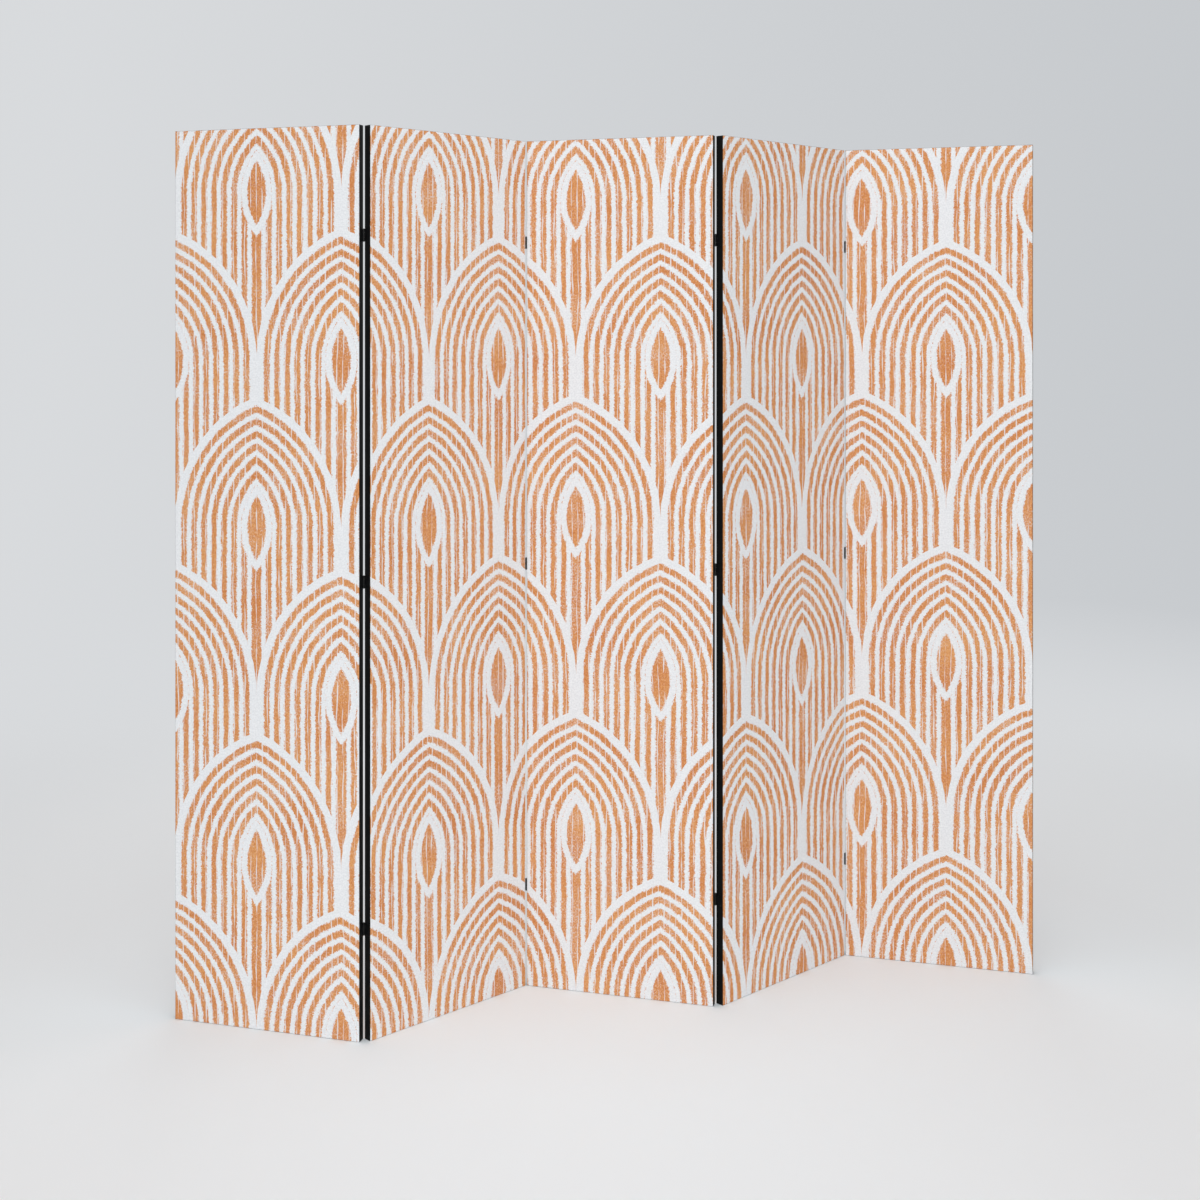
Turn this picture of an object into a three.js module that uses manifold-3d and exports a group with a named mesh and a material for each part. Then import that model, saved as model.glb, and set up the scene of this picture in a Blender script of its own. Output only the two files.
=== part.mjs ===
// A free-standing accordion folding screen. Five equal panels stand in a zigzag, joined by four
// lines of small butt hinges. Each panel is a black batten frame with a canvas on both faces.
// Panels are numbered from the left, as seen from the front (-Y). Panel 3 stands at the origin.
// Millimetres, +X along the screen's width, +Y to its back, +Z up.

import * as THREE from "three";
import { mergeVertices } from "three/addons/utils/BufferGeometryUtils.js";
import Module from "manifold-3d";

const wasm = await Module();
wasm.setup();

// The screen
const PANEL_COUNT = 5;
const PANEL_WIDTH = 400;
const PANEL_HEIGHT = 1775;
const FOLD_ANGLE = 60; // degrees that each panel turns from the line of the one before it

// The batten frame of a panel
const BATTEN_DEPTH = 17;
const STILE_WIDTH = 30;
const RAIL_HEIGHT = 40;
const TENON_LENGTH = 15;
const TENON_HEIGHT = 24;
const TENON_THICKNESS = 6;
const JOINT_GAP = 0.3; // glue line between wooden pieces, and under the canvas

// The canvas on each face
const CANVAS_THICKNESS = 0.45;
const CANVAS_MARGIN = 0.4; // the canvas is trimmed this far inside the edges of its frame

// The hinges
const HINGE_HEIGHT = 25;
const HINGE_END_MARGIN = 213; // from the panel's top or bottom to the middle of the end hinges
const PLATE_THICKNESS = 0.75;
const PLATE_REACH = 14; // how far the plate goes in from the face of the panel
const PLATE_CORNER_RADIUS = 2.5;
const PLATE_RECESS = 0.45; // how deep the plates are let into the stiles
const PLATE_GAP = 0.4; // between the two plates when the panels are drawn out flat
const PIN_RADIUS = 0.55;
const PIN_PLAY = 0.2; // between the pin and the eye that turns on it
const PIN_HEAD_RADIUS = 1;
const PIN_HEAD_HEIGHT = 0.5;
const KNUCKLE_GAP = 0.3; // between the knuckles, one above the other
const KNUCKLE_CLEARANCE = 0.2; // between a knuckle and the edge of a canvas
const KNUCKLE_SIDES = 12;

// The hinge screws
const SCREW_RADIUS = 1.2;
const SCREW_LENGTH = 14;
const SCREW_TIP_LENGTH = 3;
const SCREW_SPACING = 13;
const SCREW_HEAD_RADIUS = 2.3;
const SCREW_HEAD_DISH = 0.2;
const SCREW_SLOT_WIDTH = 0.6;
const SCREW_SLOT_LENGTH = 3.4;
const SCREW_SLOT_DEPTH = 0.5;
const SCREW_SIDES = 8;

// What follows from them
const CANVAS_MIDDLE = BATTEN_DEPTH / 2 + JOINT_GAP + CANVAS_THICKNESS / 2;
const PANEL_THICKNESS = BATTEN_DEPTH + 2 * (JOINT_GAP + CANVAS_THICKNESS);
const PANEL_GAP = 2 * (JOINT_GAP + PLATE_THICKNESS - PLATE_RECESS) + PLATE_GAP;
const BORE_RADIUS = PIN_RADIUS + PIN_PLAY;
const KNUCKLE_RADIUS = BORE_RADIUS + PLATE_THICKNESS;
const CANVAS_FROM_PIN = PANEL_GAP / 2 + CANVAS_MARGIN; // across, with the panels drawn out flat
const PIN_STANDOFF = Math.sqrt((KNUCKLE_RADIUS + KNUCKLE_CLEARANCE) ** 2 - CANVAS_FROM_PIN ** 2);
const PIN_ACROSS = PANEL_WIDTH / 2 + PANEL_GAP / 2;
const PIN_OUT = PANEL_THICKNESS / 2 + PIN_STANDOFF;
const SCREW_DEPTH = PIN_STANDOFF + PLATE_REACH / 2; // from the pin's axis, into the panel
const PLATE_END = PIN_STANDOFF + PLATE_REACH; // from the pin's axis, into the panel
const EYE_HEIGHT = HINGE_HEIGHT / 3;
const HINGE_HEIGHTS = {
  bottom: HINGE_END_MARGIN,
  middle: PANEL_HEIGHT / 2,
  top: PANEL_HEIGHT - HINGE_END_MARGIN,
};

const COLOURS = {
  canvas: { color: 0xe6e2dc, roughness: 0.9, metalness: 0 },
  blackWood: { color: 0x141416, roughness: 0.55, metalness: 0 },
  blackSteel: { color: 0x18181a, roughness: 0.45, metalness: 0.6 },
};

// ---------------------------------------------------------------- solids

function solidOf(geometry) {
  const bare = geometry.clone();
  bare.deleteAttribute("normal");
  bare.deleteAttribute("uv");
  const merged = mergeVertices(bare, 1e-4);
  return new wasm.Manifold(
    new wasm.Mesh({
      numProp: 3,
      vertProperties: new Float32Array(merged.attributes.position.array),
      triVerts: new Uint32Array(merged.index.array),
    }),
  );
}

function geometryOf(solid) {
  const { vertProperties, triVerts } = solid.getMesh();
  const geometry = new THREE.BufferGeometry();
  geometry.setAttribute("position", new THREE.BufferAttribute(vertProperties, 3));
  geometry.setIndex(new THREE.BufferAttribute(triVerts, 1));
  const faceted = geometry.toNonIndexed();
  faceted.computeVertexNormals();
  return faceted;
}

function namedMesh(name, geometry, look) {
  const mesh = new THREE.Mesh(geometry, new THREE.MeshStandardMaterial(look));
  mesh.name = name;
  return mesh;
}

// A box of the given size, with its middle at x, y, z.
function block(width, depth, height, x, y, z) {
  return new THREE.BoxGeometry(width, depth, height).translate(x, y, z);
}

// An upright cylinder on the hinge's axis, from z = low to z = high.
function uprightCylinder(radius, low, high) {
  return new THREE.CylinderGeometry(radius, radius, high - low, KNUCKLE_SIDES)
    .rotateX(Math.PI / 2)
    .translate(0, 0, (low + high) / 2);
}

// ---------------------------------------------------------------- batten frame

const RAIL_HEIGHTS = {
  bottom: RAIL_HEIGHT / 2,
  middle: PANEL_HEIGHT / 2,
  top: PANEL_HEIGHT - RAIL_HEIGHT / 2,
};
const STILE_INNER_FACE = PANEL_WIDTH / 2 - STILE_WIDTH;

// A stile, with a mortise for the tenon of each rail, and where a hinge goes a shallow recess for
// its plate and pilot holes for its screws.
// side is 1 for the right-hand stile and -1 for the left. hingeSide is 1 where the hinges stand
// at the back face, -1 at the front face and 0 on a free edge.
function stileGeometry(side, hingeSide) {
  const middle = side * (PANEL_WIDTH / 2 - STILE_WIDTH / 2);
  let stile = solidOf(block(STILE_WIDTH, BATTEN_DEPTH, PANEL_HEIGHT, middle, 0, PANEL_HEIGHT / 2));
  for (const height of Object.values(RAIL_HEIGHTS)) {
    const mortise = block(
      2 * (TENON_LENGTH + JOINT_GAP),
      TENON_THICKNESS + 2 * JOINT_GAP,
      TENON_HEIGHT + 2 * JOINT_GAP,
      side * STILE_INNER_FACE,
      0,
      height,
    );
    stile = stile.subtract(solidOf(mortise));
  }
  if (hingeSide === 0) return geometryOf(stile);
  for (const height of Object.values(HINGE_HEIGHTS)) {
    const recess = block(
      2 * PLATE_RECESS,
      2 * (PLATE_END + JOINT_GAP),
      HINGE_HEIGHT + 2 * JOINT_GAP,
      (side * PANEL_WIDTH) / 2,
      hingeSide * PIN_OUT,
      height,
    );
    stile = stile.subtract(solidOf(recess));
    for (const offset of [-SCREW_SPACING / 2, SCREW_SPACING / 2]) {
      const radius = SCREW_RADIUS + JOINT_GAP;
      const hole = new THREE.CylinderGeometry(radius, radius, 2 * SCREW_LENGTH, SCREW_SIDES)
        .rotateZ(Math.PI / 2)
        .translate((side * PANEL_WIDTH) / 2, hingeSide * (PIN_OUT - SCREW_DEPTH), height + offset);
      stile = stile.subtract(solidOf(hole));
    }
  }
  return geometryOf(stile);
}

// A rail between the stiles, with a stub tenon at each end.
function railGeometry(height) {
  const length = 2 * (STILE_INNER_FACE - JOINT_GAP);
  const rail = solidOf(block(length, BATTEN_DEPTH, RAIL_HEIGHT, 0, 0, height));
  const tenons = block(
    2 * (STILE_INNER_FACE + TENON_LENGTH - JOINT_GAP),
    TENON_THICKNESS,
    TENON_HEIGHT,
    0,
    0,
    height,
  );
  return geometryOf(rail.add(solidOf(tenons)));
}

// ---------------------------------------------------------------- hinges

// The pieces below are drawn about the axis of the pin. The panel's edge lies at -X from it and
// the panel's inside at -Y, as on the right-hand edge of a panel that is hinged at its back face.
const PLATE_FRONT = -PLATE_GAP / 2; // X of the plate's outer surface
const WALL_MIDDLE = BORE_RADIUS + PLATE_THICKNESS / 2;
const ROLL_START = Math.sqrt(WALL_MIDDLE ** 2 - ((PLATE_GAP + PLATE_THICKNESS) / 2) ** 2);
const NOTCH_START = KNUCKLE_RADIUS + PIN_PLAY;
const TAB_END = NOTCH_START + PLATE_THICKNESS; // the tabs run on into the plate by its thickness

// The flat of a hinge leaf. It runs up to the knuckle within each of the bands, and stops short of
// the other leaf's knuckle between them. bands are pairs of heights, from the top down.
function plateGeometry(bands) {
  const half = HINGE_HEIGHT / 2;
  const outline = new THREE.Shape();
  outline.moveTo(NOTCH_START, -half);
  outline.lineTo(PLATE_END - PLATE_CORNER_RADIUS, -half);
  outline.absarc(
    PLATE_END - PLATE_CORNER_RADIUS,
    PLATE_CORNER_RADIUS - half,
    PLATE_CORNER_RADIUS,
    -Math.PI / 2,
    0,
  );
  outline.absarc(
    PLATE_END - PLATE_CORNER_RADIUS,
    half - PLATE_CORNER_RADIUS,
    PLATE_CORNER_RADIUS,
    0,
    Math.PI / 2,
  );
  outline.lineTo(NOTCH_START, half);
  const flat = new THREE.ExtrudeGeometry(outline, {
    depth: PLATE_THICKNESS,
    bevelEnabled: false,
    curveSegments: 2,
  });
  // Shape X goes into the panel, shape Y goes up, and the thickness goes towards the panel's edge.
  const into = new THREE.Vector3(0, -1, 0);
  const up = new THREE.Vector3(0, 0, 1);
  const towardsEdge = new THREE.Vector3(-1, 0, 0);
  flat.applyMatrix4(new THREE.Matrix4().makeBasis(into, up, towardsEdge));
  flat.translate(PLATE_FRONT, 0, 0);
  let plate = solidOf(flat);
  for (const [high, low] of bands) {
    const tab = block(
      PLATE_THICKNESS,
      TAB_END - ROLL_START,
      high - low,
      PLATE_FRONT - PLATE_THICKNESS / 2,
      -(TAB_END + ROLL_START) / 2,
      (high + low) / 2,
    );
    plate = plate.add(solidOf(tab));
  }
  return plate;
}

// Two countersunk screws, driven through the plate into the stile, with dished and slotted heads.
function withScrews(plate) {
  let leaf = plate;
  const under = PLATE_FRONT - PLATE_THICKNESS / 2;
  const tip = PLATE_FRONT - PLATE_THICKNESS - SCREW_LENGTH + 2 * JOINT_GAP;
  for (const height of [-SCREW_SPACING / 2, SCREW_SPACING / 2]) {
    const profile = [
      new THREE.Vector2(0, tip),
      new THREE.Vector2(SCREW_RADIUS, tip + SCREW_TIP_LENGTH),
      new THREE.Vector2(SCREW_RADIUS, under),
      new THREE.Vector2(0, under),
    ];
    const shank = new THREE.LatheGeometry(profile, SCREW_SIDES)
      .rotateZ(-Math.PI / 2)
      .translate(0, -SCREW_DEPTH, height);
    const dish = new THREE.CylinderGeometry(
      SCREW_HEAD_RADIUS,
      SCREW_HEAD_RADIUS,
      2 * SCREW_HEAD_DISH,
      SCREW_SIDES,
    )
      .rotateZ(Math.PI / 2)
      .translate(PLATE_FRONT, -SCREW_DEPTH, height);
    leaf = leaf.add(solidOf(shank)).subtract(solidOf(dish));
    for (const [across, along] of [
      [SCREW_SLOT_WIDTH, SCREW_SLOT_LENGTH],
      [SCREW_SLOT_LENGTH, SCREW_SLOT_WIDTH],
    ]) {
      const slot = block(2 * SCREW_SLOT_DEPTH, across, along, PLATE_FRONT, -SCREW_DEPTH, height);
      leaf = leaf.subtract(solidOf(slot));
    }
  }
  return leaf;
}

// The leaf that holds the pin: two knuckles, closed tight on the pin, which is riveted over at
// both ends.
function pinLeafGeometry() {
  const outer = HINGE_HEIGHT / 2;
  const inner = EYE_HEIGHT / 2 + KNUCKLE_GAP;
  const bands = [
    [outer, inner],
    [-inner, -outer],
  ];
  let leaf = withScrews(plateGeometry(bands));
  for (const [high, low] of bands) {
    leaf = leaf.add(solidOf(uprightCylinder(KNUCKLE_RADIUS, low, high)));
  }
  const end = outer + PIN_HEAD_HEIGHT;
  for (const [low, high] of [
    [outer - PIN_HEAD_HEIGHT, end],
    [-end, PIN_HEAD_HEIGHT - outer],
  ]) {
    leaf = leaf.add(solidOf(uprightCylinder(PIN_HEAD_RADIUS, low, high)));
  }
  return geometryOf(leaf.add(solidOf(uprightCylinder(PIN_RADIUS, -outer, outer))));
}

// The leaf that turns on the pin: one knuckle with an open bore.
function eyeLeafGeometry() {
  const half = EYE_HEIGHT / 2;
  return geometryOf(
    withScrews(plateGeometry([[half, -half]]))
      .add(solidOf(uprightCylinder(KNUCKLE_RADIUS, -half, half)))
      .subtract(solidOf(uprightCylinder(BORE_RADIUS, -HINGE_HEIGHT, HINGE_HEIGHT))),
  );
}

const PIN_LEAF = pinLeafGeometry();
const EYE_LEAF = eyeLeafGeometry();

// One hinge leaf on a panel. side is 1 on the panel's right-hand edge and -1 on its left, and
// face is 1 at the back and -1 at the front. The leaf is the same upside down, so two half turns
// serve all four corners.
function placedHingeLeaf(name, geometry, side, face, height) {
  const leaf = namedMesh(name, geometry, COLOURS.blackSteel);
  leaf.position.set(side * PIN_ACROSS, face * PIN_OUT, height);
  leaf.rotation.set(face > 0 ? 0 : Math.PI, side > 0 ? 0 : Math.PI, 0);
  return leaf;
}

// ---------------------------------------------------------------- panels

const MIDDLE_PANEL = Math.ceil(PANEL_COUNT / 2);

// The line between panels n and n + 1 is a ridge for odd n, seen from the front, and a valley for
// even n. A ridge is hinged at the back face and a valley at the front, so that all of them close.
function hingeFace(line) {
  if (line < 1 || line >= PANEL_COUNT) return 0;
  return line % 2 === 1 ? 1 : -1;
}

function buildPanel(number) {
  const panel = new THREE.Group();
  const prefix = `panel_${number}_`;
  const faces = { left: hingeFace(number - 1), right: hingeFace(number) };
  for (const [hand, side] of [
    ["left", -1],
    ["right", 1],
  ]) {
    const stile = stileGeometry(side, faces[hand]);
    panel.add(namedMesh(`${prefix}stile_${hand}`, stile, COLOURS.blackWood));
  }
  for (const [place, height] of Object.entries(RAIL_HEIGHTS)) {
    panel.add(namedMesh(`${prefix}rail_${place}`, railGeometry(height), COLOURS.blackWood));
  }
  for (const [face, side] of [
    ["front", -1],
    ["back", 1],
  ]) {
    const sheet = block(
      PANEL_WIDTH - 2 * CANVAS_MARGIN,
      CANVAS_THICKNESS,
      PANEL_HEIGHT - 2 * CANVAS_MARGIN,
      0,
      side * CANVAS_MIDDLE,
      PANEL_HEIGHT / 2,
    );
    panel.add(namedMesh(`${prefix}canvas_${face}`, sheet, COLOURS.canvas));
  }
  // On each hinge line the panel nearer the middle of the screen carries the leaf with the pin.
  for (const [side, line, face] of [
    [-1, number - 1, faces.left],
    [1, number, faces.right],
  ]) {
    if (face === 0) continue;
    const holdsPin = side > 0 ? number >= MIDDLE_PANEL : number <= MIDDLE_PANEL;
    const geometry = holdsPin ? PIN_LEAF : EYE_LEAF;
    for (const [place, height] of Object.entries(HINGE_HEIGHTS)) {
      const name = `hinge_${line}_${line + 1}_${place}_${holdsPin ? "pin" : "eye"}_leaf`;
      panel.add(placedHingeLeaf(name, geometry, side, face, height));
    }
  }
  return panel;
}

// Hangs the next panel outwards on the pins of its neighbour, and goes on to the end of the screen.
function hangNext(neighbour, number, side) {
  const line = side > 0 ? number - 1 : number;
  const face = hingeFace(line);
  if (face === 0) return;
  const pins = new THREE.Group();
  pins.position.set(side * PIN_ACROSS, face * PIN_OUT, 0);
  pins.rotation.z = THREE.MathUtils.degToRad(side * face * FOLD_ANGLE);
  const panel = buildPanel(number);
  panel.position.set(side * PIN_ACROSS, -face * PIN_OUT, 0);
  pins.add(panel);
  neighbour.add(pins);
  hangNext(panel, number + side, side);
}

const screen = new THREE.Group();
const middlePanel = buildPanel(MIDDLE_PANEL);
middlePanel.rotation.z = THREE.MathUtils.degToRad(-FOLD_ANGLE / 2);
hangNext(middlePanel, MIDDLE_PANEL + 1, 1);
hangNext(middlePanel, MIDDLE_PANEL - 1, -1);
screen.add(middlePanel);

export default screen;
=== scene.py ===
"""A folding screen of five canvas panels, standing in a zigzag on a pale studio floor."""

from math import cos, pi, radians, sin

import bpy
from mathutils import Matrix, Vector


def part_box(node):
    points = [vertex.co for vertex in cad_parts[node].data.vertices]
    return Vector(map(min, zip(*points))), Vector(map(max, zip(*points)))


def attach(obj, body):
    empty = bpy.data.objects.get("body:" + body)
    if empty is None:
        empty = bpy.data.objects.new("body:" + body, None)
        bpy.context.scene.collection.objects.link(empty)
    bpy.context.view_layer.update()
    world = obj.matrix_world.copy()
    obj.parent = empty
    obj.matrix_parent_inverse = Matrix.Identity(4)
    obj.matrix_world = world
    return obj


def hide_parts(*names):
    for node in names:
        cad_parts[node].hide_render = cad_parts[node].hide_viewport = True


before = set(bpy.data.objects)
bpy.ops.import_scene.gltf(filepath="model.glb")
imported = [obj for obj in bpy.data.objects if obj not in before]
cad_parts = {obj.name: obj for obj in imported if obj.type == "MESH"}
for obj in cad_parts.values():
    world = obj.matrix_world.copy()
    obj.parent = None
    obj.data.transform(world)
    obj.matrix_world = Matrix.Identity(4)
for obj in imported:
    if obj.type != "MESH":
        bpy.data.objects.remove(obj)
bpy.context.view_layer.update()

# --- Batten frames ---------------------------------------------------------------------------
# Each of the five panels is a flat frame of planed softwood battens: two stiles and three rails,
# stub-tenoned, glued and sprayed with one coat of black satin paint before the canvas goes on.
# The grain still shows through the paint as shallow lines, and the arrises are eased by sanding.

PANELS = 5
FOLD = radians(60)


def lean_of(panel):
    """How far a panel is turned from the screen's line: odd panels one way, even ones the other."""
    return FOLD / 2 if panel % 2 == 0 else -FOLD / 2


def add(tree, kind, inputs=None, **settings):
    """A new shader node with its settings, each named input given a value or another socket."""
    made = tree.nodes.new("ShaderNode" + kind)
    for name, value in settings.items():
        setattr(made, name, value)
    for socket, value in (inputs or {}).items():
        if isinstance(value, bpy.types.NodeSocket):
            tree.links.new(value, made.inputs[socket])
        else:
            made.inputs[socket].default_value = value
    return made


def calc(tree, operation, *values, clamp=False):
    """The result of one Math node."""
    inputs = dict(enumerate(values))
    return add(tree, "Math", inputs, operation=operation, use_clamp=clamp).outputs[0]


def ramp(tree, value, low, high, to_low=0.0, to_high=1.0, smooth=False):
    """value moved from low..high to to_low..to_high, and held there."""
    inputs = {"Value": value, 1: low, 2: high, 3: to_low, 4: to_high}
    kind = "SMOOTHSTEP" if smooth else "LINEAR"
    return add(tree, "MapRange", inputs, interpolation_type=kind).outputs[0]


def mix_colours(tree, share, first, second):
    """The first colour where share is 0, the second where it is 1."""
    inputs = {"Factor": share, 6: first, 7: second}
    return add(tree, "Mix", inputs, data_type="RGBA").outputs[2]


def mix_values(tree, share, first, second):
    """The first value where share is 0, the second where it is 1."""
    inputs = {"Factor": share, 2: first, 3: second}
    return add(tree, "Mix", inputs, data_type="FLOAT").outputs[0]


def blotches(tree, place, per_metre, detail=2.0, roughness=0.5):
    """Noise from 0 to 1, with so many blotches to a metre."""
    inputs = {"Vector": place, "Scale": per_metre, "Detail": detail, "Roughness": roughness}
    return add(tree, "TexNoise", inputs).outputs[0]


def stretch(tree, place, *scale):
    """place multiplied by scale, axis by axis."""
    inputs = {0: place, 1: scale}
    return add(tree, "VectorMath", inputs, operation="MULTIPLY").outputs[0]


def streaks(tree, place, per_metre, detail=2.0, roughness=0.5):
    """Noise from 0 to 1, with its own number of blotches to a metre along each axis."""
    return blotches(tree, stretch(tree, place, *per_metre), 1.0, detail, roughness)


def new_group(name, inputs, outputs):
    """An empty shader node group with the sockets named, and its ends."""
    tree = bpy.data.node_groups.new(name, "ShaderNodeTree")
    for side, sockets in (("INPUT", inputs), ("OUTPUT", outputs)):
        for label, kind in sockets.items():
            tree.interface.new_socket(label, in_out=side, socket_type="NodeSocket" + kind)
    given = tree.nodes.new("NodeGroupInput").outputs
    out = tree.nodes.new("NodeGroupOutput").inputs
    return tree, given, out


def use_group(tree, group, **inputs):
    """A node group placed in a tree; its inputs are given by name, with _ for a space."""
    placed = tree.nodes.new("ShaderNodeGroup")
    placed.node_tree = group
    for name, value in inputs.items():
        socket = placed.inputs[name.replace("_", " ")]
        if isinstance(value, bpy.types.NodeSocket):
            tree.links.new(value, socket)
        else:
            socket.default_value = value
    return placed.outputs


def new_material(name):
    """A material with only a Principled BSDF on its output, and its tree."""
    material = bpy.data.materials.new(name)
    material.use_nodes = True
    tree = material.node_tree
    return material, tree, tree.nodes["Principled BSDF"]


def emboss(tree, shader, height, shows, depth, arris=None):
    """Gives a surface its relief, depth metres deep, and eases its edges to the arris radius."""
    inputs = {"Strength": shows, "Distance": depth, "Height": height}
    if arris:
        inputs["Normal"] = add(tree, "Bevel", {"Radius": arris}, samples=4).outputs[0]
    relief = add(tree, "Bump", inputs).outputs[0]
    tree.links.new(relief, shader.inputs["Normal"])


PEEL_PER_METRE = 420.0
RUBS_PER_METRE = 23.0
DUST_PER_METRE = 1500.0
RUB_LEVELS = (0.50, 0.78)  # of the noise, from where a rub begins to where it is full
DUST_LEVELS = (0.70, 0.78)
RUBBED_SHOWS = 0.55  # how far the worn colour comes through at most
DUST_SHOWS = 0.5
RUBBING_POLISHES = 0.10  # how much less rough the rubbed patches are
PEEL_DULLS = 0.14  # how much rougher the tops of the orange peel are


def sprayed_coat():
    """The finish of sprayed paint: its orange peel, rubbed patches and dust, for wood and steel."""
    tree, given, out = new_group(
        "sprayed_coat",
        {"Place": "Vector", "Colour": "Color", "Worn Colour": "Color", "Dullness": "Float"},
        {"Colour": "Color", "Roughness": "Float", "Height": "Float"},
    )
    peel = blotches(tree, given["Place"], PEEL_PER_METRE)
    rubbed = blotches(tree, given["Place"], RUBS_PER_METRE, 5.0, 0.62)
    dust = blotches(tree, given["Place"], DUST_PER_METRE, 1.0)
    rub = ramp(tree, rubbed, *RUB_LEVELS, smooth=True)
    specks = ramp(tree, dust, *DUST_LEVELS, 0.0, DUST_SHOWS)
    worn = calc(tree, "ADD", calc(tree, "MULTIPLY", rub, RUBBED_SHOWS), specks, clamp=True)
    colour = mix_colours(tree, worn, given["Colour"], given["Worn Colour"])
    tree.links.new(colour, out["Colour"])
    dull = calc(tree, "MULTIPLY_ADD", rub, -RUBBING_POLISHES, 1.0)
    dull = calc(tree, "MULTIPLY_ADD", peel, PEEL_DULLS, dull)
    tree.links.new(calc(tree, "MULTIPLY", dull, given["Dullness"]), out["Roughness"])
    tree.links.new(peel, out["Height"])
    return tree


coat_group = sprayed_coat()


def spray(tree, shader, place, colour, worn_colour, dullness):
    """Lays the sprayed coat on a material, and gives back the height of its orange peel."""
    coat = use_group(
        tree,
        coat_group,
        Place=place,
        Colour=colour,
        Worn_Colour=worn_colour,
        Dullness=dullness,
    )
    tree.links.new(coat["Colour"], shader.inputs["Base Color"])
    tree.links.new(coat["Roughness"], shader.inputs["Roughness"])
    return coat["Height"]


PAINT_BLACK = (0.0042, 0.0043, 0.0046, 1)
PAINT_RUBBED = (0.011, 0.0105, 0.010, 1)
PAINT_DULLNESS = 0.55
PAINT_SHINE = 0.22
ARRIS = 0.0003
RINGS_ACROSS = 95.0  # growth rings to a metre, across the batten and along it
RINGS_ALONG = 2.2
PORES_TO_A_RING = 9
RING_RELIEF = 1.6  # against 1 for the orange peel
PORE_RELIEF = 0.5
PAINT_RELIEF = 0.00012
PAINT_RELIEF_SHOWS = 0.35


def painted_wood(name, turn, upright):
    """Black satin paint over planed softwood whose grain runs upright, or along a turned panel."""
    material, tree, shader = new_material(name)
    place = add(tree, "TexCoord").outputs["Object"]
    turned = {"Vector": place, "Angle": -turn}
    along = add(tree, "VectorRotate", turned, rotation_type="Z_AXIS").outputs[0]
    rings = [RINGS_ACROSS, RINGS_ACROSS, RINGS_ALONG]
    if not upright:
        rings.reverse()
    grain = streaks(tree, along, rings, 3.0, 0.6)
    pores = streaks(tree, along, [PORES_TO_A_RING * count for count in rings])
    height = spray(tree, shader, along, PAINT_BLACK, PAINT_RUBBED, PAINT_DULLNESS)
    height = calc(tree, "MULTIPLY_ADD", grain, RING_RELIEF, height)
    height = calc(tree, "MULTIPLY_ADD", pores, PORE_RELIEF, height)
    emboss(tree, shader, height, PAINT_RELIEF_SHOWS, PAINT_RELIEF, ARRIS)
    shader.inputs["Specular IOR Level"].default_value = PAINT_SHINE
    return material


def dress(node, material):
    """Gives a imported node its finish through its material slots."""
    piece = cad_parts[node]
    if not piece.material_slots:
        piece.data.materials.append(material)
    for place in piece.material_slots:
        place.material = material


SIDES = ("left", "right")
HEIGHTS = ("bottom", "middle", "top")

stile_paint = painted_wood("black_stile_paint", 0.0, True)
rail_paint = [
    painted_wood("black_rail_paint_odd", lean_of(1), False),
    painted_wood("black_rail_paint_even", lean_of(2), False),
]
for panel in range(1, PANELS + 1):
    for side in SIDES:
        dress(f"panel_{panel}_stile_{side}", stile_paint)
    for height in HEIGHTS:
        dress(f"panel_{panel}_rail_{height}", rail_paint[(panel + 1) % 2])

# --- Canvases --------------------------------------------------------------------------------
# A sheet of matt polyester canvas is stretched over each face of a frame, glued and stapled under
# its edge and trimmed just inside the battens, and its cut edge is painted black with them. It is
# printed before it is cut, so the print runs on from panel to panel.

THREAD = 0.00062  # from one thread to the next
THINNEST = 0.7
SWELLING = 0.6  # of a thread at its slubs
SLUBS_ALONG = 60.0  # to a metre, along the thread and across it
SLUBS_ACROSS = 900.0
SLUB_SHADES = 0.2
NAP_PER_METRE = 290.0
NAP_SHADES = 0.6


def woven_canvas():
    """Plain weave: two sets of threads over and under each other, with slubs in both."""
    tree, given, out = new_group(
        "woven_canvas", {"Place": "Vector"}, {"Height": "Float", "Shade": "Float"}
    )
    place = given["Place"]
    slub = streaks(tree, place, (SLUBS_ALONG, SLUBS_ACROSS, 1.0))
    slub_up = streaks(tree, place, (SLUBS_ACROSS, SLUBS_ALONG, 1.0))
    split = add(tree, "SeparateXYZ", {0: place}).outputs
    across = calc(tree, "DIVIDE", split[0], THREAD)
    up = calc(tree, "DIVIDE", split[1], THREAD)

    def rounded(threads, slubs):
        """The height of one set of threads, which lie side by side."""
        wave = calc(tree, "ABSOLUTE", calc(tree, "SINE", calc(tree, "MULTIPLY", threads, pi)))
        swollen = calc(tree, "MULTIPLY_ADD", slubs, SWELLING, THINNEST)
        return calc(tree, "MULTIPLY", wave, swollen)

    weft, warp = rounded(up, slub), rounded(across, slub_up)
    crossing = calc(tree, "ADD", calc(tree, "FLOOR", across), calc(tree, "FLOOR", up))
    warp_on_top = calc(tree, "FLOORED_MODULO", crossing, 2.0)
    tree.links.new(mix_values(tree, warp_on_top, weft, warp), out["Height"])
    nap = blotches(tree, place, NAP_PER_METRE, 2.0, 0.7)
    nap = calc(tree, "MULTIPLY", nap, NAP_SHADES)
    shade = calc(tree, "MULTIPLY_ADD", calc(tree, "ADD", slub, slub_up), SLUB_SHADES, nap)
    tree.links.new(shade, out["Shade"])
    return tree


SCALE_HALF = 0.182  # half the width of a scale
SCALE_POINT = 0.091  # how far past the middle its arcs are centred, which points the scale
SCALE_RISE = 0.330  # from one row up to the next
RIM = 0.016  # bare band inside the edge of a scale
LINE_PITCH = 0.0222
LINE_WIDTH = 0.0122
EYE_HALF = 0.020
EYE_GAP = 0.0140  # bare band round an eye


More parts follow.
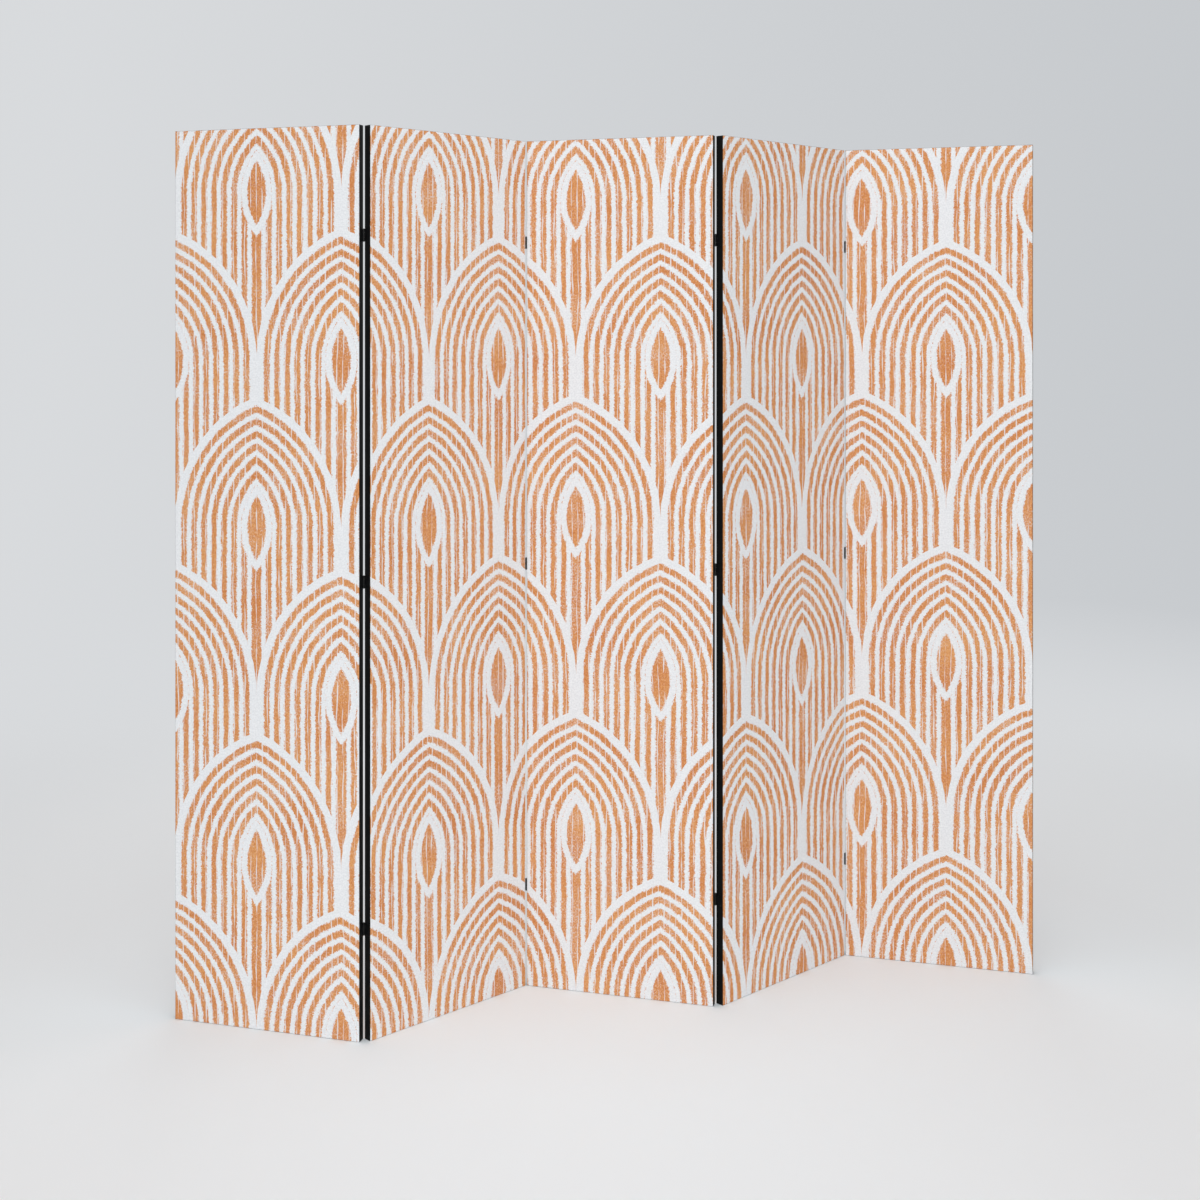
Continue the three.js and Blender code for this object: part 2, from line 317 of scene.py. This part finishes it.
def row_of_scales():
    """One row of pointed scales side by side: whether a point is inside one, how far it is from
    the scale's rim, and how far from the upright pointed eye in its middle."""
    tree, given, out = new_group(
        "row_of_scales",
        {"Across": "Float", "Up": "Float", "Row": "Float"},
        {"Inside": "Float", "From Rim": "Float", "Eye": "Float"},
    )
    odd = calc(tree, "FLOORED_MODULO", given["Row"], 2.0)
    shifted = calc(tree, "MULTIPLY_ADD", odd, SCALE_HALF, given["Across"])
    side = calc(tree, "PINGPONG", shifted, SCALE_HALF)
    rise = calc(tree, "MULTIPLY_ADD", given["Row"], -SCALE_RISE, given["Up"])
    reach = calc(tree, "ADD", side, SCALE_POINT)

    def pointed(height):
        """The half width of the pointed arch that a point at this height lies on."""
        reach_squared = calc(tree, "MULTIPLY", reach, reach)
        squares = calc(tree, "ADD", reach_squared, calc(tree, "MULTIPLY", height, height))
        return calc(tree, "SUBTRACT", calc(tree, "SQRT", squares), SCALE_POINT)

    from_rim = calc(tree, "SUBTRACT", SCALE_HALF, pointed(calc(tree, "MAXIMUM", rise, 0.0)))
    tree.links.new(from_rim, out["From Rim"])
    tree.links.new(calc(tree, "GREATER_THAN", from_rim, 0.0), out["Inside"])
    tree.links.new(pointed(rise), out["Eye"])
    return tree


WANDER = 0.0042  # how far the lines stray
WANDERS_PER_METRE = 34.0
RAGGED = 0.0125
RAGGED_PER_METRE = 430.0
WORN = 0.0060
WORN_PER_METRE = 150.0
INK_EDGE = 0.0003
CUT_PITCH = 0.0062
CUT_WIDTH = 0.0014
CUT_SWAY = 0.012
CUT_SWAYS = (3.0, 9.0, 1.0)  # to a metre across and up, as in the next three
CUT_BREAKS = (75.0, 24.0, 1.0)
DRY_FLECKS = (420.0, 260.0, 1.0)
INK_GRAIN = (300.0, 210.0, 1.0)
CUT_LEVELS = (0.36, 0.64)  # of the noise, from no cut to the widest
CUT_EDGE = 0.0002
CUT_CLEARS = 0.85  # how much of the ink is missing at most
DRY_CLEARS = 0.60
DRY_PLACES_PER_METRE = 16.0
DRY_LEVELS = (0.40, 0.64)  # of the noise, from places with few flecks to places with many
FLECK_LEVELS = (0.60, 0.48)  # of the noise, where flecks begin in the one and in the other
FLECK_EDGE = 0.16
INK_CLOUDS_PER_METRE = 9.0
GRAIN_TONE = 0.7
CLOUD_TONE = 0.3
TONE_LEVELS = (0.40, 0.60)  # of both together, from the dark ink to the light


def scale_lines(tree, place):
    """How far a point is inside the ink of the rows of scales, before any wear."""
    wander = add(
        tree, "TexNoise", {"Vector": place, "Scale": WANDERS_PER_METRE, "Detail": 1.0}
    ).outputs["Color"]
    wander = add(
        tree,
        "VectorMath",
        {0: wander, 1: (WANDER, WANDER, 0.0), 2: place},
        operation="MULTIPLY_ADD",
    ).outputs[0]
    across, up = add(tree, "SeparateXYZ", {0: wander}).outputs[:2]
    base = calc(tree, "FLOOR", calc(tree, "DIVIDE", up, SCALE_RISE))
    rows = row_of_scales()
    rim, eye = None, None
    for step in (1.0, 0.0, -1.0):
        row = use_group(tree, rows, Across=across, Up=up, Row=calc(tree, "ADD", base, step))
        if rim is None:
            rim, eye = row["From Rim"], row["Eye"]
        else:
            rim = mix_values(tree, row["Inside"], rim, row["From Rim"])
            eye = mix_values(tree, row["Inside"], eye, row["Eye"])
    line_middle = calc(tree, "SUBTRACT", rim, RIM + LINE_WIDTH / 2)
    off_line = calc(tree, "PINGPONG", line_middle, LINE_PITCH / 2)
    line = calc(tree, "SUBTRACT", LINE_WIDTH / 2, off_line)
    line = calc(tree, "MINIMUM", line, calc(tree, "SUBTRACT", rim, RIM))
    line = calc(tree, "MINIMUM", line, calc(tree, "SUBTRACT", eye, EYE_HALF + EYE_GAP))
    return calc(tree, "MAXIMUM", line, calc(tree, "SUBTRACT", EYE_HALF, eye))


def bare_cuts(tree, place):
    """Pale upright hairlines, where cuts in the block take up no ink."""
    sway = streaks(tree, place, CUT_SWAYS)
    across = add(tree, "SeparateXYZ", {0: place}).outputs[0]
    cut = calc(tree, "MULTIPLY_ADD", sway, CUT_SWAY, across)
    off_cut = calc(tree, "PINGPONG", cut, CUT_PITCH)
    width = streaks(tree, place, CUT_BREAKS, 3.0)
    width = ramp(tree, width, *CUT_LEVELS, 0.0, CUT_WIDTH)
    inside = calc(tree, "SUBTRACT", width, off_cut)
    return ramp(tree, inside, -CUT_EDGE, INK_EDGE, 0.0, CUT_CLEARS)


def dry_flecks(tree, place):
    """Flecks that a dry block leaves bare, close together in some places."""
    dry = streaks(tree, place, DRY_FLECKS, 2.0, 0.7)
    places = blotches(tree, place, DRY_PLACES_PER_METRE, 3.0)
    where_dry = ramp(tree, places, *DRY_LEVELS, *FLECK_LEVELS)
    fleck = calc(tree, "SUBTRACT", dry, where_dry)
    return ramp(tree, fleck, 0.0, FLECK_EDGE, 0.0, DRY_CLEARS)


def block_print():
    """Overlapping rows of pointed scales with an eye, in lines as a carved block prints them: the
    lines wander, their edges are ragged, and the ink is missing in flecks and hairlines."""
    tree, given, out = new_group(
        "block_print", {"Place": "Vector"}, {"Ink": "Float", "Tone": "Float"}
    )
    place = given["Place"]
    inked = scale_lines(tree, place)
    ragged = calc(tree, "SUBTRACT", blotches(tree, place, RAGGED_PER_METRE, 2.0, 0.7), 0.5)
    worn = calc(tree, "SUBTRACT", blotches(tree, place, WORN_PER_METRE), 0.5)
    inked = calc(tree, "MULTIPLY_ADD", ragged, RAGGED, inked)
    inked = calc(tree, "MULTIPLY_ADD", worn, WORN, inked)
    ink = ramp(tree, inked, -INK_EDGE, INK_EDGE)
    missing = calc(tree, "MAXIMUM", bare_cuts(tree, place), dry_flecks(tree, place))
    ink = calc(tree, "MULTIPLY", ink, calc(tree, "SUBTRACT", 1.0, missing))
    tree.links.new(ink, out["Ink"])

    grain = streaks(tree, place, INK_GRAIN, 2.0, 0.7)
    cloud = blotches(tree, place, INK_CLOUDS_PER_METRE, 3.0)
    cloud = calc(tree, "MULTIPLY", cloud, CLOUD_TONE)
    tone = calc(tree, "ADD", calc(tree, "MULTIPLY", grain, GRAIN_TONE), cloud)
    tree.links.new(ramp(tree, tone, *TONE_LEVELS), out["Tone"])
    return tree


CANVAS_WHITE = (0.885, 0.895, 0.910, 1)
CANVAS_SHADE = (0.745, 0.758, 0.778, 1)
SHADE_LEVELS = (0.39, 0.61)  # of the weave, from its shade to its white
INK_DARK = (0.600, 0.205, 0.062, 1)
INK_LIGHT = (0.750, 0.370, 0.145, 1)
CANVAS_DULLNESS = 0.90
INK_POLISHES = 0.10  # how much less rough the ink is
CANVAS_SHINE = 0.12
CANVAS_SHEEN = 0.03
WEAVE_RELIEF = 0.00010
WEAVE_RELIEF_SHOWS = 0.5


def printed_canvas():
    """White polyester canvas with one orange ink that sinks into the weave."""
    material, tree, shader = new_material("printed_canvas")
    place = add(tree, "Attribute", attribute_name="print_place").outputs["Vector"]
    weave = use_group(tree, woven_canvas(), Place=place)
    block = use_group(tree, block_print(), Place=place)
    lit_thread = ramp(tree, weave["Shade"], *SHADE_LEVELS)
    white = mix_colours(tree, lit_thread, CANVAS_SHADE, CANVAS_WHITE)
    ink = mix_colours(tree, block["Tone"], INK_DARK, INK_LIGHT)
    tree.links.new(mix_colours(tree, block["Ink"], white, ink), shader.inputs["Base Color"])
    dull = calc(tree, "MULTIPLY_ADD", block["Ink"], -INK_POLISHES, CANVAS_DULLNESS)
    tree.links.new(dull, shader.inputs["Roughness"])
    emboss(tree, shader, weave["Height"], WEAVE_RELIEF_SHOWS, WEAVE_RELIEF)
    shader.inputs["Specular IOR Level"].default_value = CANVAS_SHINE
    shader.inputs["Sheen Weight"].default_value = CANVAS_SHEEN
    return material


canvas_cloth = printed_canvas()

PANEL_WIDTH = 0.400
PANEL_HEIGHT = 1.775
STILE = 0.030
RAIL = 0.040
TRIMMED = 0.0004  # how far the sheet stops inside the edges of the panel
SHEET_WIDTH = PANEL_WIDTH - 2 * TRIMMED
SHEET_HEIGHT = PANEL_HEIGHT - 2 * TRIMMED
BAY = (SHEET_HEIGHT - 3 * RAIL) / 2  # from rail to rail
CLOTH = 0.00045
ROLLED = 0.00026  # how far the cut edge is pressed in
ROLL_WIDTH = 0.0022
ROLL_STEPS = (0.0, 0.25, 0.6, 1.0)
DRAWN_IN = 0.0007  # at the middle of a bay
SIDE_SLOPE = 0.12  # from a batten to where the sheet is drawn in fully
END_SLOPE = 0.18
COLUMNS = 24
ROWS = 72


def steps(length, count):
    """Places along a side: close together in the rolled edge, then evenly to the other edge."""
    fine = [share * ROLL_WIDTH for share in ROLL_STEPS]
    middle = [ROLL_WIDTH + (length - 2 * ROLL_WIDTH) * k / count for k in range(1, count)]
    return fine + middle + [length - x for x in reversed(fine)]


def smooth(x):
    """0 to 1 with no corner at either end."""
    x = min(max(x, 0.0), 1.0)
    return x * x * (3 - 2 * x)


def sheet_depth(across, up):
    """How far the sheet lies behind its flat place: rolled in at its cut edge, drawn in between
    the battens."""
    from_side = min(across, SHEET_WIDTH - across)
    edge = min(from_side, up, SHEET_HEIGHT - up)
    rolled = ROLLED * (1 - smooth(edge / ROLL_WIDTH)) ** 2
    in_bay = up - RAIL if up < SHEET_HEIGHT / 2 else up - RAIL - BAY - RAIL
    side = smooth((from_side - STILE) / SIDE_SLOPE)
    ends = smooth(min(in_bay, BAY - in_bay) / END_SLOPE)
    return rolled + DRAWN_IN * side * ends


def skin_faces(wide, tall):
    """The faces of both skins of a sheet of wide by tall points, and those that close its rim."""
    back = wide * tall
    faces = []
    for r in range(tall - 1):
        for c in range(wide - 1):
            a = r * wide + c
            quad = (a, a + 1, a + 1 + wide, a + wide)
            faces.append(quad)
            faces.append(tuple(back + k for k in reversed(quad)))
    rim = list(range(wide))
    rim += [r * wide + wide - 1 for r in range(1, tall)]
    rim += [(tall - 1) * wide + c for c in range(wide - 2, -1, -1)]
    rim += [r * wide for r in range(tall - 2, 0, -1)]
    closing = [(b, a, a + back, b + back) for a, b in zip(rim, rim[1:] + rim[:1])]
    return faces, closing


def canvas_sheet(panel, face):
    """The stretched sheet on one face of a panel, as a thin closed skin that carries the place of
    each point in the print."""
    name = f"panel_{panel}_canvas_{face}"
    low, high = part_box(name)
    middle = (low + high) / 2
    turn = lean_of(panel)
    front = face == "front"
    along = Vector((cos(turn), sin(turn), 0)) * (1 if front else -1)
    outward = along.cross(Vector((0, 0, 1)))
    start = (panel - 1 if front else PANELS - panel) * PANEL_WIDTH
    columns = steps(SHEET_WIDTH, COLUMNS)
    rows = steps(SHEET_HEIGHT, ROWS)
    points, print_places = [], []
    for skin in (CLOTH / 2, -CLOTH / 2):
        for up in rows:
            for across in columns:
                at = middle + along * (across - SHEET_WIDTH / 2)
                at.z = TRIMMED + up
                points.append(at + outward * (skin - sheet_depth(across, up)))
                print_places.append((start + TRIMMED + across, TRIMMED + up, 0.0))
    faces, closing = skin_faces(len(columns), len(rows))
    mesh = bpy.data.meshes.new(name + "_sheet")
    mesh.from_pydata([tuple(p) for p in points], [], faces + closing)
    mesh.validate()
    places = mesh.attributes.new("print_place", "FLOAT_VECTOR", "POINT")
    places.data.foreach_set("vector", [x for p in print_places for x in p])
    mesh.materials.append(canvas_cloth)
    mesh.materials.append(stile_paint)
    for polygon in mesh.polygons:
        polygon.use_smooth = polygon.index < len(faces)
        polygon.material_index = int(polygon.index >= len(faces))
    sheet = bpy.data.objects.new(name + "_sheet", mesh)
    bpy.context.scene.collection.objects.link(sheet)
    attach(sheet, f"panel_{panel}")
    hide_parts(name)
    battens = [f"panel_{panel}_stile_{side}" for side in SIDES]
    battens += [f"panel_{panel}_rail_{height}" for height in HEIGHTS]


for panel in range(1, PANELS + 1):
    for face in ("front", "back"):
        canvas_sheet(panel, face)

# --- Hinges ----------------------------------------------------------------------------------
# Three small butt hinges join each pair of panels: pressed steel leaves whose knuckles are rolled
# round a riveted pin, stove-enamelled black, each leaf held by two cross-slotted screws. The
# enamel is rubbed thin in patches.

ENAMEL_BLACK = (0.0052, 0.0053, 0.0056, 1)
ENAMEL_RUBBED = (0.026, 0.026, 0.027, 1)
ENAMEL_DULLNESS = 0.36
ENAMEL_SHINE = 0.35
ENAMEL_FINER = 2.2  # its orange peel against that of the paint
ENAMEL_RELIEF = 0.00004
ENAMEL_RELIEF_SHOWS = 0.3
PRESSED_EDGE = 0.00015


def enamelled_steel():
    """Black enamel on pressed steel."""
    material, tree, shader = new_material("black_hinge_enamel")
    place = add(tree, "TexCoord").outputs["Object"]
    finer = stretch(tree, place, ENAMEL_FINER, ENAMEL_FINER, ENAMEL_FINER)
    height = spray(tree, shader, finer, ENAMEL_BLACK, ENAMEL_RUBBED, ENAMEL_DULLNESS)
    emboss(tree, shader, height, ENAMEL_RELIEF_SHOWS, ENAMEL_RELIEF, PRESSED_EDGE)
    shader.inputs["Specular IOR Level"].default_value = ENAMEL_SHINE
    return material


hinge_enamel = enamelled_steel()
for panel in range(1, PANELS):
    for height in HEIGHTS:
        for leaf in ("pin", "eye"):
            dress(f"hinge_{panel}_{panel + 1}_{height}_{leaf}_leaf", hinge_enamel)

# --- Studio ----------------------------------------------------------------------------------
# The screen stands on the pale floor of a round cove whose wall rises softly behind it. Large
# soft boxes light it from above, the front and the back, and the white room fills in the rest.

COVE_FLOOR = 2.6
COVE_CURVE = 1.9
COVE_HEIGHT = 5.0
COVE_SIDES = 96
FLOOR_RINGS = 8
CURVE_RINGS = 16
UNDER_FEET = 0.0002  # between the floor and the panels


def cove():
    """The floor, curving up into the wall all round."""
    profile = [(COVE_FLOOR * k / FLOOR_RINGS, 0.0) for k in range(1, FLOOR_RINGS + 1)]
    for k in range(1, CURVE_RINGS + 1):
        bend = pi / 2 * k / CURVE_RINGS
        profile.append((COVE_FLOOR + COVE_CURVE * sin(bend), COVE_CURVE * (1 - cos(bend))))
    profile.append((COVE_FLOOR + COVE_CURVE, COVE_HEIGHT))
    points = [(0.0, 0.0, -UNDER_FEET)]
    faces = []
    for ring, (radius, z) in enumerate(profile):
        first = 1 + ring * COVE_SIDES
        for k in range(COVE_SIDES):
            turn = 2 * pi * k / COVE_SIDES
            points.append((radius * cos(turn), radius * sin(turn), z - UNDER_FEET))
            here, after = first + k, first + (k + 1) % COVE_SIDES
            if ring == 0:
                faces.append((0, here, after))
            else:
                faces.append((here - COVE_SIDES, here, after, after - COVE_SIDES))
    mesh = bpy.data.meshes.new("cove")
    mesh.from_pydata(points, [], faces)
    for polygon in mesh.polygons:
        polygon.use_smooth = True
    floor = bpy.data.objects.new("cove", mesh)
    bpy.context.scene.collection.objects.link(floor)
    return floor


# The wall glows with painted light and shade: lighter on one side, painted darker towards DIM_SIDE.
WALL_LIT = (0.690, 0.705, 0.723, 1)
WALL_DIM = (0.570, 0.590, 0.613, 1)
DIM_SIDE = radians(-14.09)  # from +X; the side towards which the wall is painted darker, as painted shade
WALL_LIT_END = -2.4  # towards the dim side, from the screen's middle
WALL_DIM_END = 2.6
WALL_FOOT = 0.32
# The floor is painted lighter and bluer towards the middle: a painted pool of light.
FLOOR_NEAR = (0.918, 0.956, 0.976, 1)
FLOOR_FAR = (0.872, 0.876, 0.880, 1)
FLOOR_NEAR_RADIUS = 0.5
FLOOR_FAR_RADIUS = 1.3
FLOOR_DULLNESS = 0.8
FLOOR_SHINE = 0.1
FADE_STARTS = 1.7  # radius where the floor begins to fade into the wall
FADE_ENDS = 3.4


def cove_paint_and_painted_light():
    """Pale floor with a painted pool of light, fading into a wall that glows with painted light and
    shade.
    """
    material, tree, shader = new_material("cove_paint_and_painted_light")
    place = add(tree, "TexCoord").outputs["Object"]
    x, y, z = add(tree, "SeparateXYZ", {0: place}).outputs
    # Painted shade on the wall: darker towards DIM_SIDE, fading out towards the wall's foot.
    from_y = calc(tree, "MULTIPLY", y, sin(DIM_SIDE))
    to_dim_side = calc(tree, "MULTIPLY_ADD", x, cos(DIM_SIDE), from_y)
    dimmer = ramp(tree, to_dim_side, WALL_LIT_END, WALL_DIM_END)
    dimmer = calc(tree, "MULTIPLY", dimmer, ramp(tree, z, 0.0, WALL_FOOT))
    wall = mix_colours(tree, dimmer, WALL_LIT, WALL_DIM)
    # The floor's painted pool of light: its colour is lighter near the middle and fades to
    # FLOOR_FAR between the two radii.
    flat = stretch(tree, place, 1.0, 1.0, 0.0)
    radius = add(tree, "VectorMath", {0: flat}, operation="LENGTH").outputs["Value"]
    outward = ramp(tree, radius, FLOOR_NEAR_RADIUS, FLOOR_FAR_RADIUS)
    floor = mix_colours(tree, outward, FLOOR_NEAR, FLOOR_FAR)
    tree.links.new(floor, shader.inputs["Base Color"])
    shader.inputs["Roughness"].default_value = FLOOR_DULLNESS
    shader.inputs["Specular IOR Level"].default_value = FLOOR_SHINE
    seen = add(tree, "LightPath").outputs
    to_eye = calc(tree, "MAXIMUM", seen["Is Camera Ray"], seen["Is Glossy Ray"])
    to_eye = calc(tree, "MAXIMUM", to_eye, seen["Is Transmission Ray"])
    # The wall shows its painted light and shade as a glow to the camera, reflections and
    # refractions only; other rays pass through it.
    glow = add(tree, "Emission", {"Color": wall, "Strength": 1.0}).outputs[0]
    clear = add(tree, "BsdfTransparent").outputs[0]
    outside = add(tree, "NewGeometry").outputs["Backfacing"]
    wall_seen = calc(tree, "MULTIPLY", to_eye, calc(tree, "SUBTRACT", 1.0, outside))
    wall_shader = add(tree, "MixShader", {0: wall_seen, 1: clear, 2: glow}).outputs[0]
    far = ramp(tree, radius, FADE_STARTS, FADE_ENDS, smooth=True)
    mixed = add(tree, "MixShader", {0: far, 1: shader.outputs[0], 2: wall_shader}).outputs[0]
    tree.links.new(mixed, tree.nodes["Material Output"].inputs["Surface"])
    return material


cove().data.materials.append(cove_paint_and_painted_light())


def soft_box(name, at, look_at, size, power):
    """A large soft lamp that the camera doesn't see."""
    lamp = bpy.data.lights.new(name, "AREA")
    lamp.shape = "RECTANGLE"
    lamp.size, lamp.size_y = size
    lamp.energy = power
    stand = bpy.data.objects.new(name, lamp)
    stand.location = at
    stand.rotation_euler = (Vector(look_at) - Vector(at)).to_track_quat("-Z", "Y").to_euler()
    stand.visible_camera = False
    bpy.context.scene.collection.objects.link(stand)


soft_box("top_box", at=(-0.3, -0.9, 4.1), look_at=(-0.3, -0.9, 0.0), size=(2.4, 2.4), power=38)
soft_box("key_box", at=(-1.15, -4.0, 1.15), look_at=(-0.1, 0.0, 0.8), size=(2.4, 2.0), power=61)
soft_box("back_box", at=(0.6, 2.9, 1.9), look_at=(0.0, 0.0, 0.9), size=(2.4, 1.8), power=20)

ROOM_WHITE = (0.96, 0.98, 1.0, 1)
ROOM_STRENGTH = 0.55

world = bpy.data.worlds.new("white_room")
bpy.context.scene.world = world
world.use_nodes = True
room = world.node_tree.nodes["Background"]
room.inputs["Color"].default_value = ROOM_WHITE
room.inputs["Strength"].default_value = ROOM_STRENGTH

# --- Camera ----------------------------------------------------------------------------------
# A 50 mm lens on a level camera 1.37 m above the floor, to the left of the screen and turned
# towards it. The lens is shifted down to take in the floor.

CAMERA_PLACE = (-0.8702, -3.3529, 1.3670)
CAMERA_TURN = radians(-13.877)
LENS = 50.08  # millimetres, as is the width of the film
FILM_WIDTH = 36
SHIFT_DOWN = 0.2205  # in widths of the film

camera = bpy.data.objects.new("camera", bpy.data.cameras.new("camera"))
bpy.context.scene.collection.objects.link(camera)
camera.location = CAMERA_PLACE
camera.rotation_euler = (radians(90), 0, CAMERA_TURN)
camera.data.sensor_width = FILM_WIDTH
camera.data.lens = LENS
camera.data.shift_y = -SHIFT_DOWN
bpy.context.scene.camera = camera
bpy.context.scene.view_settings.view_transform = "Standard"
